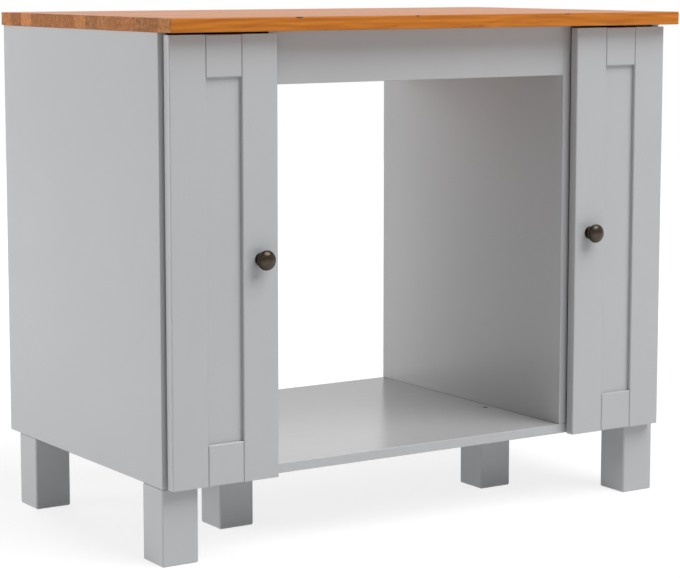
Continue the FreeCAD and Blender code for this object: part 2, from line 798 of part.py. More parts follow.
def make_knob_screw():
    point = (knob_x, door_middle)
    shank = rod("Y", door_front - S.knob_thread, door_back, point, S.knob_screw_radius)
    head = rod("Y", door_back, door_back + S.knob_screw_head_thick, point, S.knob_screw_head)
    keep_pair("{}_knob_screw", fused(shank, head))


def make_bumper():
    point = (inner_joint + S.stile_width / 2, (floor_low + floor_top) / 2)
    keep_pair("{}_door_bumper", rod("Y", door_back, carcass_front - S.bumper_air, point, S.bumper_radius))


# Concealed hinges: a sprung cup in the door, a pin across it and a cranked arm to a plate on the side


def pair_of_hinges(label, piece):
    """Keep the lower hinge's piece and its copy on the upper hinge, for both doors."""
    keep_pair(label, group([piece, mirrored(piece, "Z", door_middle)]))


def make_hinge_cup():
    body = new_body("hinge_cup")
    middle = (cup_middle, hinge_level)
    outside = S.cup_radius - S.cup_clearance
    add(body, "XZ", cup_floor + S.cup_clearance, flange_back, circle(*middle, outside))
    add(body, "XZ", door_back, flange_back, circle(*middle, S.cup_radius + S.flange_rim))
    wing = (S.wing_width / 2, S.wing_length / 2)
    wings = rectangle(
        cup_screw_x - wing[0], hinge_level - wing[1], cup_screw_x + wing[0], hinge_level + wing[1]
    )
    add(body, "XZ", door_back, flange_back, wings)
    corners = [
        {"X": cup_screw_x + wing[0] * side, "Z": hinge_level + wing[1] * end}
        for side in (-1, 1) for end in (-1, 1)
    ]
    ease(body, "Fillet", S.wing_round, *corners)
    cup_inside = cup_floor + S.cup_clearance + S.cup_wall
    cut(body, "XZ", cup_inside, flange_back, circle(*middle, outside - S.cup_wall))
    ear = S.arm_width / 2 + S.arm_side_play
    for low, high in ((ear, ear + S.cheek_thick), (-ear - S.cheek_thick, -ear)):
        sides = rectangle(
            pivot[0] - S.cheek_radius,
            cup_inside - S.cup_wall / 2,
            pivot[0] + S.cheek_radius,
            pivot[1] + S.cheek_radius,
        )
        add(body, "XY", hinge_level + low, hinge_level + high, sides)
    pin_half = ear + S.cheek_thick
    pin_hole = S.pivot_radius + S.fit_clearance
    drill(body, "Z", hinge_level - pin_half, hinge_level + pin_half, [pivot], pin_hole)
    drill(body, "Y", door_back, flange_back, cup_screws, small_hole)
    pair_of_hinges("{}_hinge_cups", body)
    pin = rod("Z", hinge_level - pin_half, hinge_level + pin_half, pivot, S.pivot_radius)
    pair_of_hinges("{}_hinge_pins", pin)
    screws = group([small_screw("Y", -1, flange_back, p, S.flange_thick) for p in cup_screws])
    pair_of_hinges("{}_cup_screws", screws)


def make_hinge_arm():
    body = new_body("hinge_arm")
    half = S.arm_thick / 2
    low = hinge_level - S.arm_width / 2
    high = hinge_level + S.arm_width / 2
    strip = outline(
        (pivot[0], pivot[1] - half),
        (arm_far, pivot[1] - half),
        (arm_far, plate_rear),
        (arm_near, plate_rear),
        (arm_near, pivot[1] + half),
        (pivot[0], pivot[1] + half),
    )
    add(body, "XY", low, high, strip)
    ease(body, "Fillet", S.arm_bend, {"X": arm_far, "Y": pivot[1] - half})
    ease(body, "Fillet", S.arm_bend - S.arm_thick, {"X": arm_near, "Y": pivot[1] + half})
    add(body, "XY", low, high, circle(*pivot, S.eye_radius))
    drill(body, "Z", low, high, [pivot], S.pivot_radius + S.fit_clearance)
    drill(body, "X", arm_near, arm_far, [(plate_y, hinge_level)], small_hole)
    pair_of_hinges("{}_hinge_arms", body)


def make_hinge_plate():
    """A raised block for the arm, with two screw wings on the side panel."""
    half = S.arm_width / 2
    wing = S.plate_wing / 2
    body = block(
        "hinge_plate",
        (side_in, plate_front, hinge_level - half),
        (arm_near, plate_rear, hinge_level + half),
    )
    wings = rectangle(plate_y - half, hinge_level - wing, plate_y + half, hinge_level + wing)
    add(body, "YZ", side_in, side_in + S.plate_thick, wings)
    corners = [
        {"Y": plate_y + half * side, "Z": hinge_level + wing * end}
        for side in (-1, 1) for end in (-1, 1)
    ]
    ease(body, "Fillet", S.wing_round, *corners)
    drill(body, "X", side_in, side_in + S.plate_thick, plate_screws, small_hole)
    arm_screw_end = arm_near - S.arm_screw_depth - S.hole_spare
    drill(body, "X", arm_screw_end, arm_near, [(plate_y, hinge_level)], small_hole)
    pair_of_hinges("{}_hinge_plates", body)
    screws = [small_screw("X", -1, side_in + S.plate_thick, p, S.plate_thick) for p in plate_screws]
    point = (plate_y, hinge_level)
    shank = rod("X", arm_near - S.arm_screw_depth, arm_far, point, S.small_screw_radius)
    head = rod("X", arm_far, arm_far + S.small_head_thick, point, S.small_head_radius)
    lower = group(screws + [fused(shank, head)])
    keep_both("hinge_plate_screws", [lower, mirrored(lower, "Z", door_middle)])


def write_parts():
    """Check every object, then write one file for each kept piece."""
    doc.recompute()
    for thing in doc.Objects:
        if "Invalid" in thing.State or "Error" in thing.State:
            raise RuntimeError(f"{thing.Label} did not build: {thing.State}")
    for node in nodes:
        if node.Shape.isNull() or not node.Shape.isValid():
            raise RuntimeError(f"{node.Label} has no valid shape")
    os.makedirs("parts", exist_ok=True)
    for node in nodes:
        node.Shape.exportStep(f"parts/{node.Label}.step")
        print(f"{node.Label}: {len(node.Shape.Solids)} solid(s), {node.Shape.Volume / 1000:.2f} cm3")


make_worktop()
make_side_panel()
make_partition()
make_floor_panel()
make_rail("front_apron", apron_y, apron_dowels)
make_rail("rear_rail", rear_rail_y, rear_rail_dowels)
make_back_panel()
make_dowels()
make_shelf()
make_shelf_pins()
for leg, leg_middle in left_legs.items():
    make_leg(leg, leg_middle)
make_long_screws()
make_brackets()
make_stiles()
make_door_rail("{}_bottom_rail", door_low, door_low + S.rail_height, 1)
make_door_rail("{}_top_rail", door_high, door_high - S.rail_height, -1)
make_door_panel()
make_knob()
make_knob_screw()
make_bumper()
make_hinge_cup()
make_hinge_arm()
make_hinge_plate()
write_parts()
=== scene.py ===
"""Oven housing cabinet: paint, oiled worktop, turned knobs and fixings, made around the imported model."""

import json
import math
from contextlib import contextmanager

import bpy
from bpy.props import FloatProperty, FloatVectorProperty, IntProperty, PointerProperty
from bpy.types import Operator, Panel, PropertyGroup
from mathutils import Matrix, Vector

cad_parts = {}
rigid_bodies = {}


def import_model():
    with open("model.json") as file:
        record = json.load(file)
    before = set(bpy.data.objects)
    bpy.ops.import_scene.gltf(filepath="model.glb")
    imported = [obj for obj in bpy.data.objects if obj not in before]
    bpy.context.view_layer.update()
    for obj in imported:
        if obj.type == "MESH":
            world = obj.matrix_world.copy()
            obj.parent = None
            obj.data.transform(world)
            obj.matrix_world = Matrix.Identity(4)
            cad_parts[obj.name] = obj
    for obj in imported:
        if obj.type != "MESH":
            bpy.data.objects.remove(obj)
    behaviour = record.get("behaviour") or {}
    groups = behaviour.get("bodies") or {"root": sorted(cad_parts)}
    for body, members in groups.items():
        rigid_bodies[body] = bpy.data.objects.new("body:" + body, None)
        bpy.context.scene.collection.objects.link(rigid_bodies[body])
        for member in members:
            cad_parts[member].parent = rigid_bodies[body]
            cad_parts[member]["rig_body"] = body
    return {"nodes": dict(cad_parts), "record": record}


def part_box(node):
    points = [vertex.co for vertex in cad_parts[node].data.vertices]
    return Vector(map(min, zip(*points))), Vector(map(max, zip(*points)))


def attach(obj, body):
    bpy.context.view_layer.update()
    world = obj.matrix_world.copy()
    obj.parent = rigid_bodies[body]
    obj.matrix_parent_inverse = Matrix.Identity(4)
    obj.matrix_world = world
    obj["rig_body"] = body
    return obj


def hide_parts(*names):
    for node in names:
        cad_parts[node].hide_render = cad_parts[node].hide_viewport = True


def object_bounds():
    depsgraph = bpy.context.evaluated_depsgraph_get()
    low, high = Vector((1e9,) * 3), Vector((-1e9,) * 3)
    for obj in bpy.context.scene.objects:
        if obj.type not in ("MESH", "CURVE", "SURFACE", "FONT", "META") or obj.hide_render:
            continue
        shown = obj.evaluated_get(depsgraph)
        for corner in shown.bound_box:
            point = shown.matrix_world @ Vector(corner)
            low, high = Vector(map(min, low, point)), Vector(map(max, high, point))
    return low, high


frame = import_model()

bl_info = {
    "name": "Oven Housing Cabinet",
    "version": (1, 0, 0),
    "blender": (4, 5, 0),
    "location": "View3D > Sidebar > Cabinet",
    "description": "Finishes, knobs and fixings of a kitchen cabinet that houses an oven",
    "category": "Object",
}

CAD_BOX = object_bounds()
NODES = frame["nodes"]
HANDS = ("left", "right")
FRONT_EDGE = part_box("worktop")[0].y
WORKTOP_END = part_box("worktop")[1].x
WORKTOP_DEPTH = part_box("worktop")[1].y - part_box("worktop")[0].y
WORKTOP_MIDDLE = (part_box("worktop")[0].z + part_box("worktop")[1].z) / 2
# Name of the knob attribute that says how light the bronze is: wear on the crown, and a painted reflection
# that makes the crown's lower half lighter than its upper half
RUBBED_AND_PAINTED_REFLECTION = "rubbed"


# Sizes and colours that a user would change


def length(name, description, default):
    """A size in metres."""
    return FloatProperty(name=name, description=description, default=default, unit="LENGTH", precision=4)


def colour(name, description, default):
    """A colour, in linear light."""
    return FloatVectorProperty(
        name=name, description=description, default=default, subtype="COLOR", size=3, min=0.0, max=1.0
    )


def power(name, description, default):
    """The power of a lamp in watts."""
    return FloatProperty(name=name, description=description, default=default, unit="POWER", min=0.0)


class CabinetSizes(PropertyGroup):
    """Sizes of the worktop's staves and of the pieces that are modelled here."""

    stave_count: IntProperty(
        name="Staves", description="Staves glued side by side in the worktop", default=15, min=1
    )
    planed_share: FloatProperty(
        name="Planed off", description="Share planed off the outer staves", default=0.03, min=0.0
    )
    ring_spacing: length("Ring spacing", "Growth rings of the worktop's wood", 0.0050)
    end_depth: length("End grain depth", "Rounded end of the worktop that shows end grain", 0.0016)
    rose_radius: length("Rose radius", "Foot of a knob, on the door", 0.0110)
    rose_height: length("Rose height", "Thickness of a knob's foot", 0.0025)
    neck_radius: length("Neck radius", "Thinnest part of a knob", 0.0065)
    neck_level: length("Neck level", "Thinnest part of a knob, from the door", 0.0055)
    flare_radius: length("Flare radius", "Where a knob's hollow flare meets its rim", 0.0138)
    flare_level: length("Flare level", "Where a knob's hollow flare ends, from the door", 0.0130)
    rim_level: length("Rim level", "Widest part of a knob, from the door", 0.0170)
    nail_radius: length("Nail head", "Radius of the nail heads in the back panels", 0.0023)
    nail_length: length("Nail length", "Nails through the back panels", 0.0140)
    nail_pitch: length("Nail spacing", "Largest distance between nails in a row", 0.0950)


class CabinetColours(PropertyGroup):
    """Colours of the finishes."""

    paint: colour("Paint", "Satin paint of the carcass, doors and legs", (0.470, 0.478, 0.490))
    wood_light: colour("Light stave", "Lightest staves of the worktop", (0.700, 0.244, 0.026))
    wood_dark: colour("Dark stave", "Darkest staves of the worktop", (0.430, 0.120, 0.012))
    end_light: colour("Light end grain", "Early wood on the ends of the staves", (0.768, 0.301, 0.097))
    end_dark: colour("Dark end grain", "Late wood on the ends of the staves", (0.300, 0.098, 0.031))
    hardboard: colour("Hardboard", "Bare back of the hardboard panels", (0.190, 0.098, 0.044))
    beech: colour("Beech", "Dowels", (0.620, 0.420, 0.250))
    bronze: colour("Bronze", "Antique bronze of the knobs", (0.030, 0.021, 0.011))
    # Light bronze, used both for wear on a knob's crown and for the painted reflection on its lower half
    rubbed: colour("Rubbed bronze", "Bronze where hands have rubbed it", (0.085, 0.066, 0.050))
    nickel: colour("Nickel", "Plating of the hinges", (0.600, 0.585, 0.560))
    zinc: colour("Zinc", "Plating of the screws and brackets", (0.560, 0.570, 0.590))
    # Near-black matt colour given to the leg screws
    black_steel: colour("Black steel", "Oxide on the leg screws", (0.022, 0.022, 0.024))
    rubber: colour("Rubber", "Clear soft stops on the doors", (0.640, 0.640, 0.620))


class StageSettings(PropertyGroup):
    """Camera, floor and light."""

    camera_place: FloatVectorProperty(
        name="Camera", description="Where the camera stands", default=(-2.1065, -3.233, 0.920),
        subtype="TRANSLATION", unit="LENGTH",
    )
    camera_turn: FloatProperty(
        name="Turn", description="How far the camera looks to the right", default=math.radians(33.035),
        subtype="ANGLE",
    )
    camera_dip: FloatProperty(
        name="Dip", description="How far the camera looks down", default=math.radians(7.255),
        subtype="ANGLE",
    )
    camera_lens: FloatProperty(
        name="Lens", description="Focal length in millimetres", default=118.2, unit="CAMERA"
    )
    camera_shift: FloatProperty(
        name="Lens shift", description="Upright shift of the lens, in picture widths", default=-0.05
    )
    floor_radius: length("Floor", "Radius of the pale floor", 7.0)
    sky_level: FloatProperty(name="Sky", description="Even light from all round", default=0.19, min=0.0)
    top_power: power("Top light", "Large soft lamp above, in front and to the right", 480.0)
    left_power: power("Left light", "Large soft lamp at the back left, for the side panel", 52.0)
    back_power: power("Back light", "Soft lamp behind, which reaches into the niche", 18.0)


# Shader maths: a field is a number or a colour that changes over a surface


class Field:
    """A shader socket whose sums, products and comparisons add Math nodes."""

    def __init__(self, shading, socket):
        self.shading = shading
        self.socket = socket

    def math(self, operation, *values):
        sockets = dict(enumerate(values))
        return self.shading.add("ShaderNodeMath", {"operation": operation}, sockets)

    def __add__(self, other):
        return self.math("ADD", self, other)

    def __radd__(self, other):
        return self.math("ADD", other, self)

    def __sub__(self, other):
        return self.math("SUBTRACT", self, other)

    def __rsub__(self, other):
        return self.math("SUBTRACT", other, self)

    def __mul__(self, other):
        return self.math("MULTIPLY", self, other)

    def __rmul__(self, other):
        return self.math("MULTIPLY", other, self)

    def __truediv__(self, other):
        return self.math("DIVIDE", self, other)

    def __pow__(self, other):
        return self.math("POWER", self, other)

    def __abs__(self):
        return self.math("ABSOLUTE", self)

    def __floor__(self):
        return self.math("FLOOR", self)

    def __lt__(self, other):
        return self.math("LESS_THAN", self, other)


class Shading:
    """The nodes of a material or of the world."""

    def __init__(self, tree):
        self.tree = tree

    def add(self, kind, settings=None, sockets=None, output=0):
        """Add a node: its settings first, then the values or links of its sockets."""
        node = self.tree.nodes.new(kind)
        for name, value in (settings or {}).items():
            setattr(node, name, value)
        for name, value in (sockets or {}).items():
            self.feed(node.inputs[name], value)
        return Field(self, node.outputs[output])

    def feed(self, socket, value):
        """Link a field to a socket, or set a plain value on it."""
        if isinstance(value, Field):
            self.tree.links.new(value.socket, socket)
        elif socket.type == "RGBA":
            socket.default_value = (*value[:3], 1.0)
        else:
            socket.default_value = value

    def seen(self):
        """1 for rays that look at the background: from the camera, off a shiny surface or through glass."""
        found = self.add("ShaderNodeLightPath", output="Is Camera Ray")
        for ray in ("Is Glossy Ray", "Is Transmission Ray"):
            found = found.math("MAXIMUM", found, self.add("ShaderNodeLightPath", output=ray))
        return found

    def show(self, share, first, second):
        """Let one shader go over into another, and show the result."""
        either = self.add("ShaderNodeMixShader", None, {0: share, 1: first, 2: second})
        self.feed(self.tree.get_output_node("ALL").inputs["Surface"], either)


# Sockets of a Mix node that mixes colours
MIX_SHARE = 0
MIX_FIRST = 6
MIX_SECOND = 7
MIX_RESULT = 2


class Finish(Shading):
    """One material: fields over its surface, which feed its main shader."""

    def __init__(self, name):
        self.material = bpy.data.materials.new(name)
        self.material.use_nodes = True
        super().__init__(self.material.node_tree)
        self.surface = self.tree.nodes["Principled BSDF"]

    def set(self, **sockets):
        """Feed sockets of the main shader, named with underscores for spaces."""
        for name, value in sockets.items():
            self.feed(self.surface.inputs[name.replace("_", " ")], value)

    def place(self):
        """Where a point of the piece is, in metres."""
        return self.add("ShaderNodeTexCoord", output="Object")

    def split(self, where):
        return [self.add("ShaderNodeSeparateXYZ", None, {0: where}, axis) for axis in "XYZ"]

    def join(self, x, y, z):
        return self.add("ShaderNodeCombineXYZ", None, {0: x, 1: y, 2: z})

    def stretched(self, where, scale):
        return self.add("ShaderNodeMapping", None, {"Vector": where, "Scale": scale})

    def noise(self, where, scale, detail=2.0):
        return self.add("ShaderNodeTexNoise", None, {"Vector": where, "Scale": scale, "Detail": detail})

    def mix(self, share, first, second, blend="MIX"):
        """One colour going over into another."""
        settings = {"data_type": "RGBA", "blend_type": blend}
        sockets = {MIX_SHARE: share, MIX_FIRST: first, MIX_SECOND: second}
        return self.add("ShaderNodeMix", settings, sockets, MIX_RESULT)

    def blend(self, value, low, high):
        """0 below low, 1 above high and a smooth change between them."""
        settings = {"interpolation_type": "SMOOTHSTEP"}
        sockets = {"Value": value, "From Min": low, "From Max": high}
        return self.add("ShaderNodeMapRange", settings, sockets)

    def raise_by(self, height, distance, strength=1.0):
        """Let a height field tilt the surface."""
        sockets = {"Height": height, "Distance": distance, "Strength": strength}
        self.set(Normal=self.add("ShaderNodeBump", None, sockets))


# Finishes


def tint(shade, share):
    """The same colour, lighter or darker."""
    return tuple(part * share for part in shade)


def satin_paint(name, scene):
    """Grey satin lacquer: faint clouding, fine roller stipple and a soft sheen."""
    colours = scene.cabinet_colours
    finish = Finish(name)
    where = finish.place()
    cloud = finish.noise(where, 4.0, 3.0)
    stipple = finish.noise(where, 750.0, 1.0)
    flow = finish.noise(where, 55.0, 2.0)
    finish.set(
        Base_Color=finish.mix(cloud, tint(colours.paint, 0.965), tint(colours.paint, 1.035)),
        Roughness=0.195 + 0.05 * flow + 0.02 * stipple,
    )
    finish.raise_by(stipple * 0.6 + flow, 0.00008, 0.2)
    return finish.material


# Middle, half length and strength of each dark mark on the worktop's front arris
PITCH_MARKS = ((-0.2735, 0.0080, 0.90), (-0.0510, 0.0045, 0.70), (0.2537, 0.0075, 0.50))
MARK_HEIGHT = 0.0032
MARK_DEPTH = 0.0012
PITCH = (0.030, 0.018, 0.014)

# What the wood's colour is multiplied by where a mark is strongest
LATE_RING = (0.52, 0.40, 0.30)
DARK_FIBRE = (0.66, 0.55, 0.45)
DARK_FLECK = (0.50, 0.38, 0.30)
OPEN_PORE = (0.45, 0.36, 0.30)
DULL_END = (0.62, 0.58, 0.56)
OLIVE_END = (0.82, 1.0, 0.94)
GREY_END = (0.46, 0.50, 0.58)
END_SPECK = (0.60, 0.52, 0.46)
GLUE_LINE = (0.40, 0.30, 0.24)


def pitch_marks(finish, x, y, z):
    """How much pitch shows at a point of the worktop."""
    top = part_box("worktop")[1].z
    at_front = y < FRONT_EDGE + MARK_DEPTH
    found = 0.0
    for middle, half, strength in PITCH_MARKS:
        spread = ((x - middle) / half) ** 2.0 + ((z - top) / MARK_HEIGHT) ** 2.0
        found = at_front * (1.0 - finish.blend(spread, 0.4, 1.0)) * strength + found
    return found


def oiled_wood(name, scene):
    """Full-length staves glued side by side, each with its own tone, rings and end grain."""
    sizes = scene.cabinet_sizes
    colours = scene.cabinet_colours
    finish = Finish(name)
    where = finish.place()
    x, y, z = finish.split(where)
    width = WORKTOP_DEPTH / (sizes.stave_count - 2 * sizes.planed_share)
    across = (y - FRONT_EDGE) / width + sizes.planed_share
    row = math.floor(across)
    chance = finish.add("ShaderNodeTexWhiteNoise", {"noise_dimensions": "1D"}, {"W": row}, "Value")
    draws = finish.add("ShaderNodeTexWhiteNoise", {"noise_dimensions": "1D"}, {"W": row + 0.5}, "Color")
    heart_aside, heart_below, lean = finish.split(draws)

    # Rings round a heart beside and below each stave, which wander along its length
    wander = finish.noise(finish.join(x * 4.0 + chance * 30.0, y * 14.0, z * 14.0), 1.0, 2.0) - 0.5
    aside = (across - row - 0.5) * width + (heart_aside - 0.5) * 0.16 + x * (lean - 0.5) * 0.03
    below = z - WORKTOP_MIDDLE + 0.010 + heart_below * 0.05
    ring_place = finish.join(x * 0.16 + chance * 9.0, aside + wander * 0.016, below + wander * 0.022)
    rings = finish.add(
        "ShaderNodeTexWave",
        {"wave_type": "RINGS", "rings_direction": "X"},
        {
            "Vector": ring_place,
            "Scale": math.pi / 10.0 / sizes.ring_spacing,
            "Distortion": 3.2,
            "Detail": 2.0,
            "Detail Scale": 0.8,
        },
        "Fac",
    )
    fibres = finish.noise(finish.join(x * 16.0 + chance * 40.0, y * 620.0, z * 620.0), 1.0, 3.0)
    streaks = finish.noise(finish.join(x * 8.0 + chance * 20.0, y * 210.0, z * 210.0), 1.0, 3.0)
    pores = finish.noise(finish.join(x * 60.0, y * 1500.0, z * 1500.0), 1.0, 1.0)
    pores = finish.blend(pores, 0.62, 0.78)
    flecks = finish.noise(finish.join(x * 34.0, y * 170.0, z * 170.0), 1.0, 1.0)
    flecks = finish.blend(flecks, 0.68, 0.78)

    light = chance * 0.5 + finish.blend(streaks, 0.30, 0.70) * 0.5
    tone = finish.mix(light, colours.wood_dark, colours.wood_light)
    tone = finish.mix(rings * 0.30, tone, LATE_RING, "MULTIPLY")
    tone = finish.mix(finish.blend(fibres, 0.35, 0.75) * 0.30, tone, DARK_FIBRE, "MULTIPLY")
    tone = finish.mix(flecks * 0.5, tone, DARK_FLECK, "MULTIPLY")
    tone = finish.mix(pores * 0.4, tone, OPEN_PORE, "MULTIPLY")

    # End grain: the rings show faintly through blotches, and some staves are greyer or more olive
    blotches = finish.noise(where, 150.0, 4.0)
    specks = finish.blend(finish.noise(where, 700.0, 2.0), 0.40, 0.70)
    late = rings * 0.24 + finish.blend(blotches, 0.30, 0.70) * 0.56
    end_tone = finish.mix(late, colours.end_light, colours.end_dark)
    grey = finish.blend(chance + blotches * 0.3, 0.85, 1.20)
    end_tone = finish.mix(lean, end_tone, DULL_END, "MULTIPLY")
    end_tone = finish.mix(heart_aside * 0.5, end_tone, OLIVE_END, "MULTIPLY")
    end_tone = finish.mix(grey * 0.8, end_tone, GREY_END, "MULTIPLY")
    end_tone = finish.mix(specks * 0.35, end_tone, END_SPECK, "MULTIPLY")
    at_end = finish.blend(abs(x), WORKTOP_END - sizes.end_depth, WORKTOP_END - sizes.end_depth * 0.3)
    tone = finish.mix(at_end, tone, end_tone)

    glue = finish.blend(abs(across - row - 0.5), 0.489, 0.5)
    tone = finish.mix(glue * 0.4, tone, GLUE_LINE, "MULTIPLY")
    tone = finish.mix(pitch_marks(finish, x, y, z), tone, PITCH)

    finish.set(Base_Color=tone, Roughness=0.30 + 0.14 * fibres + 0.30 * at_end, Specular_IOR_Level=0.2)
    finish.raise_by(fibres * 0.6 - pores * 0.8 - glue * 0.5, 0.00025, 0.5)
    return finish.material


GRIME = (0.55, 0.50, 0.46)


def antique_bronze(name, scene):
    """Dark lacquered patina, lighter where the piece's own attribute says: wear on the crown, and a painted
    reflection on the crown's lower half.
    """
    colours = scene.cabinet_colours
    finish = Finish(name)
    where = finish.place()
    wear_and_painted_reflection = finish.add("ShaderNodeAttribute", {"attribute_name": RUBBED_AND_PAINTED_REFLECTION}, None, "Fac")
    patches = finish.noise(where, 260.0, 4.0)
    # bare is real wear and patches, plus the painted reflection that lightens the crown's lower half
    bare = finish.blend(wear_and_painted_reflection * 0.7 + patches * 0.6, 0.45, 0.95)
    grime = finish.noise(where, 1400.0, 2.0)
    metal = finish.mix(bare * 0.8, colours.bronze, colours.rubbed)
    finish.set(
        Base_Color=finish.mix(grime * 0.3, metal, GRIME, "MULTIPLY"),
        Metallic=1.0,
        Roughness=0.20 - 0.04 * bare + 0.06 * grime,
        Coat_Weight=0.3,
    )
    finish.raise_by(patches + grime * 0.3, 0.00015, 0.3)
    return finish.material


def plated_steel(name, shade, roughness):
    """Pressed or turned steel under a thin plating, with drawing lines and a few dull spots."""
    finish = Finish(name)
    where = finish.place()
    lines = finish.noise(finish.stretched(where, (1.0, 1.0, 0.08)), 2600.0, 2.0)
    spots = finish.blend(finish.noise(where, 180.0, 4.0), 0.52, 0.72)
    finish.set(
        Base_Color=finish.mix(spots * 0.5 + lines * 0.2, shade, tint(shade, 0.62)),
        Metallic=1.0,
        Roughness=roughness + 0.14 * spots + 0.08 * lines,
    )
    finish.raise_by(lines, 0.00004, 0.3)
    return finish.material


def hardboard(name, scene):
    """Thin board: lacquered grey inside the cupboard, bare pressed fibre at the back."""
    colours = scene.cabinet_colours
    finish = Finish(name)
    where = finish.place()
    y = finish.split(where)[1]
    low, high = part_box("left_back_panel")
    at_back = finish.blend(y, (low.y + high.y) / 2, high.y - (high.y - low.y) / 6)
    fibre = finish.noise(where, 320.0, 5.0)
    flecks = finish.noise(finish.stretched(where, (1.0, 1.0, 0.25)), 900.0, 2.0)
    flecks = finish.blend(flecks, 0.56, 0.74)
    bare = finish.mix(fibre, tint(colours.hardboard, 0.70), tint(colours.hardboard, 1.30))
    bare = finish.mix(flecks * 0.6, bare, tint(colours.hardboard, 1.9))
    cloud = finish.noise(where, 4.0, 3.0)
    lacquer = finish.mix(cloud, tint(colours.paint, 0.90), tint(colours.paint, 0.97))
    finish.set(Base_Color=finish.mix(at_back, lacquer, bare), Roughness=0.42 + 0.34 * at_back)
    finish.raise_by(fibre + flecks * 0.4, 0.0003, 0.5)
    return finish.material


def beech(name, scene):
    """Plain turned beech with short flecks."""
    colours = scene.cabinet_colours
    finish = Finish(name)
    where = finish.place()
    streaks = finish.noise(finish.stretched(where, (0.15, 1.0, 1.0)), 700.0, 3.0)
    flecks = finish.blend(finish.noise(where, 1300.0, 1.0), 0.60, 0.72)
    shade = finish.mix(streaks, tint(colours.beech, 0.82), tint(colours.beech, 1.12))
    finish.set(
        Base_Color=finish.mix(flecks * 0.5, shade, tint(colours.beech, 0.55)),
        Roughness=0.55 + 0.1 * streaks,
    )
    finish.raise_by(streaks, 0.0001, 0.4)
    return finish.material


RUBBER_CLEARNESS = 0.35


def soft_rubber(name, scene):
    """Clear soft plastic, slightly dusty."""
    colours = scene.cabinet_colours
    finish = Finish(name)
    where = finish.place()
    dust = finish.noise(where, 900.0, 3.0)
    finish.set(
        Base_Color=finish.mix(dust, tint(colours.rubber, 0.92), colours.rubber),
        Roughness=0.30 + 0.25 * dust,
        Transmission_Weight=RUBBER_CLEARNESS,
    )
    finish.raise_by(dust, 0.00006, 0.3)
    return finish.material


def matt_black_steel(name, scene):
    """Matt near-black steel, a little greyer in spots."""
    colours = scene.cabinet_colours
    finish = Finish(name)
    spots = finish.noise(finish.place(), 900.0, 3.0)
    finish.set(
        Base_Color=finish.mix(spots, tint(colours.black_steel, 0.7), tint(colours.black_steel, 1.6)),
        Roughness=0.55 + 0.2 * spots,
        Specular_IOR_Level=0.15,
    )
    return finish.material


def nickel_plate(name, scene):
    return plated_steel(name, scene.cabinet_colours.nickel, 0.29)


def zinc_plate(name, scene):
    return plated_steel(name, scene.cabinet_colours.zinc, 0.32)


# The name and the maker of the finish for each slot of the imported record
FINISHES = {
    "grey_paint": ("satin_grey_paint", satin_paint),
    "oiled_wood": ("oiled_stave_wood", oiled_wood),
    "hardboard": ("lacquered_hardboard", hardboard),
    "beech": ("turned_beech", beech),
    "antique_bronze": ("rubbed_antique_bronze", antique_bronze),
    "nickel_plate": ("bright_nickel_plate", nickel_plate),
    "zinc_steel": ("dull_zinc_plate", zinc_plate),
    "black_steel": ("black_oxide_steel", matt_black_steel),
    "clear_rubber": ("clear_soft_rubber", soft_rubber),
}


def finish_for(scene, slot):
    """The finish of one slot, made the first time that it is asked for."""
    name, make = FINISHES[slot]
    return bpy.data.materials.get(name) or make(name, scene)


def nodes_in(slot):
    """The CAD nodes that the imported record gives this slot."""
    return [row["node"] for row in frame["record"]["subparts"] if row["material_slot"] == slot]


def dress(piece, scene, slot):
    """Give a piece the finish of one slot and no other."""
    piece.data.materials.clear()
    piece.data.materials.append(finish_for(scene, slot))


def dress_nodes(scene, slot):
    for node in nodes_in(slot):
        dress(NODES[node], scene, slot)


# Modelling

SHARP_ANGLE = math.radians(35)


@contextmanager
def editing(piece, picks="VERT"):
    """Edit mode on one piece, where vertices, edges or faces are picked."""
    bpy.context.view_layer.objects.active = piece
    bpy.ops.object.mode_set(mode="EDIT")
    bpy.ops.mesh.select_mode(type=picks)
    yield
    bpy.ops.object.mode_set(mode="OBJECT")


def fresh(primitive, **settings):
    """Add a primitive with nothing else selected."""
    bpy.ops.object.select_all(action="DESELECT")
    primitive(**settings)
    return bpy.context.active_object


def select_only(pieces):
    bpy.ops.object.select_all(action="DESELECT")
    for piece in pieces:
        piece.select_set(True)
    bpy.context.view_layer.objects.active = pieces[0]


def quarter(start, end, along_first, steps):
    """A quarter of an ellipse between two profile points, which leaves along the axis or across it."""
    points = []
    for step in range(1, steps + 1):
        turn = math.pi / 2 * step / steps
        early = 1 - math.cos(turn)
        late = math.sin(turn)
        shares = (early, late) if along_first else (late, early)
        points.append(tuple(a + (b - a) * share for a, b, share in zip(start, end, shares)))
    return points


def turned(profile, sides):
    """A turned piece on the Z axis: a disc drawn out ring by ring, each ring a radius and a level."""
    radius, level = profile[0]
    piece = fresh(
        bpy.ops.mesh.primitive_circle_add,
        vertices=sides, radius=radius, fill_type="NGON", location=(0, 0, level),
    )
    bpy.ops.object.transform_apply(location=True, rotation=True, scale=True)
    with editing(piece, "FACE"):
        bpy.ops.mesh.select_all(action="SELECT")
        for next_radius, next_level in profile[1:]:
            rise = {"value": (0, 0, next_level - level)}
            bpy.ops.mesh.extrude_region_move(TRANSFORM_OT_translate=rise)
            share = next_radius / radius
            bpy.ops.transform.resize(value=(share, share, 1), center_override=(0, 0, next_level))
            radius, level = next_radius, next_level
        bpy.ops.mesh.merge(type="CENTER")
        bpy.ops.mesh.select_all(action="SELECT")
        bpy.ops.mesh.normals_make_consistent(inside=False)
    return piece


def smooth(piece):
    """Shade a piece smoothly up to the edges that stay sharp."""
    select_only([piece])
    bpy.ops.object.shade_smooth_by_angle(angle=SHARP_ANGLE)


def settle(piece, matrix):
    """Move a piece to its place and leave the place in its mesh."""
    select_only([piece])
    piece.matrix_world = matrix
    bpy.ops.object.transform_apply(location=True, rotation=True, scale=True)


